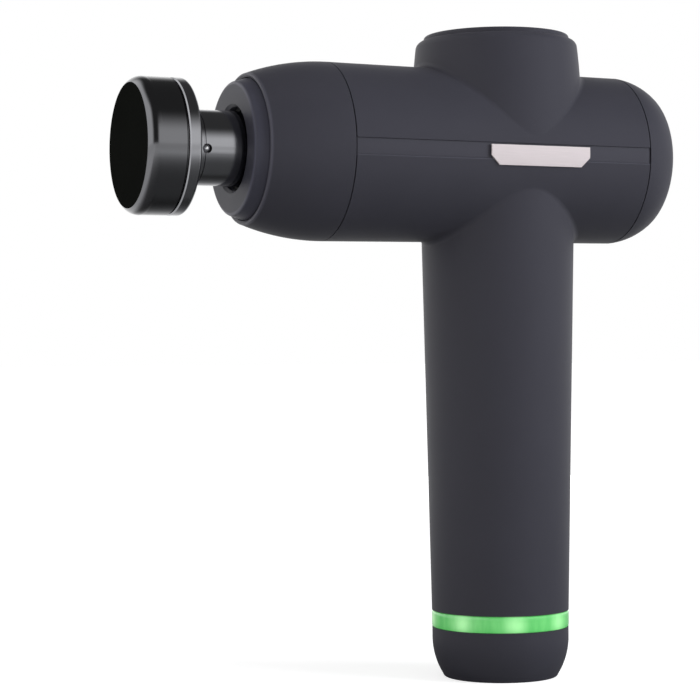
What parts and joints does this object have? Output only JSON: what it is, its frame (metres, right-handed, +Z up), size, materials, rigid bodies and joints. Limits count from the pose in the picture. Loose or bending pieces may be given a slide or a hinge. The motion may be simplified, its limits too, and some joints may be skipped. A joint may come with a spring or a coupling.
{
  "type": "massage gun",
  "caption": "Cordless T-shaped massage gun with battery handle, top motor boss and reciprocating flat massage head.",
  "frame": {"origin": "centre of the flat base face at the bottom of the handle", "axes": "+Z up along the handle, -X along the barrel towards the massage head, +Y to the gun's right side seen from the rear"},
  "size_m": [0.2029, 0.0631, 0.232],
  "materials": {
    "soft_charcoal": "soft-touch matte coating",
    "nose_black": "fine satin",
    "trim_charcoal": "fine matte",
    "ring_green": "glossy translucent, lit",
    "plate_pale": "satin, blank",
    "window_black": "gloss",
    "button_grey": "satin",
    "gunmetal": "polished dark anodised",
    "head_olive": "dark plated",
    "bright_steel": "bright",
    "frame_alloy": "as cast, machined faces",
    "bush_bronze": "sintered bronze",
    "guide_polymer": "plain bearing polymer",
    "seal_rubber": "matte",
    "copper_wire": "enamelled",
    "magnet_grey": "plated",
    "lamination": "laminated",
    "cell_wrap": "wrapped cell",
    "nickel": "strip",
    "board_green": "solder mask",
    "holder_white": "moulded",
    "zinc_screw": "zinc plated"
  },
  "bodies": {
    "gun_body": {"upper_housing": "soft_charcoal", "lower_housing": "soft_charcoal", "front_housing": "soft_charcoal", "nose_ring": "nose_black", "dust_seal": "seal_rubber", "rear_cover": "soft_charcoal", "top_cap": "soft_charcoal", "base_cap": "soft_charcoal", "led_ring": "ring_green", "led_board": "board_green", "trim_strip_left": "trim_charcoal", "trim_strip_right": "trim_charcoal", "name_plate": "plate_pale", "display_window": "window_black", "display_board": "board_green", "charge_board": "board_green", "charge_socket": "bright_steel", "drive_frame": "frame_alloy", "guide_tube": "guide_polymer", "ram_bushes": "guide_polymer", "rear_bush": "bush_bronze", "damper_ring": "seal_rubber", "bearing_tube": "frame_alloy", "motor_bearings": "bright_steel", "motor_stator": "lamination", "motor_windings": "copper_wire", "battery_cells": "cell_wrap", "battery_holders": "holder_white", "cell_links": "nickel", "controller_board": "board_green", "front_screws": "zinc_screw", "rear_screws": "zinc_screw", "frame_screws": "zinc_screw", "motor_screws": "zinc_screw", "base_screws": "zinc_screw"},
    "crank": {"rotor_bell": "bright_steel", "rotor_magnets": "magnet_grey", "motor_shaft": "bright_steel", "crank_disc": "bright_steel", "crank_pin": "bright_steel", "crank_roller": "bright_steel"},
    "ram": {"yoke": "frame_alloy", "ram_sleeve": "gunmetal", "detent_ball": "bright_steel", "detent_spring": "bright_steel"},
    "massage_head": {"head_disc": "head_olive", "head_ring": "head_olive", "head_plug": "head_olive", "head_o_rings": "seal_rubber"},
    "speed_key": {"speed_button": "button_grey"},
    "power_key": {"power_button": "button_grey"}
  },
  "joints": [
    {"name": "crank_turn", "type": "hinge", "parent": "gun_body", "child": "crank", "pos_m": [0, 0, 0.1881], "axis": [0, 0, 1], "range_deg": [-65, 65]},
    {"name": "stroke", "type": "slide", "parent": "gun_body", "child": "ram", "axis": [-1, 0, 0], "range_m": [-0.006, 0.006]},
    {"name": "head_pull_off", "type": "slide", "parent": "ram", "child": "massage_head", "axis": [-1, 0, 0], "range_m": [0, 0.028]},
    {"name": "speed_press", "type": "slide", "parent": "gun_body", "child": "speed_key", "axis": [-1, 0, 0], "range_m": [0, 0.0008], "stiffness_N_per_m": 900},
    {"name": "power_press", "type": "slide", "parent": "gun_body", "child": "power_key", "axis": [0, 0, 1], "range_m": [0, 0.0007], "stiffness_N_per_m": 900}
  ],
  "couplings": [
    {"joint": "stroke", "follows": "crank_turn", "m_per_rad": 0.0051}
  ]
}
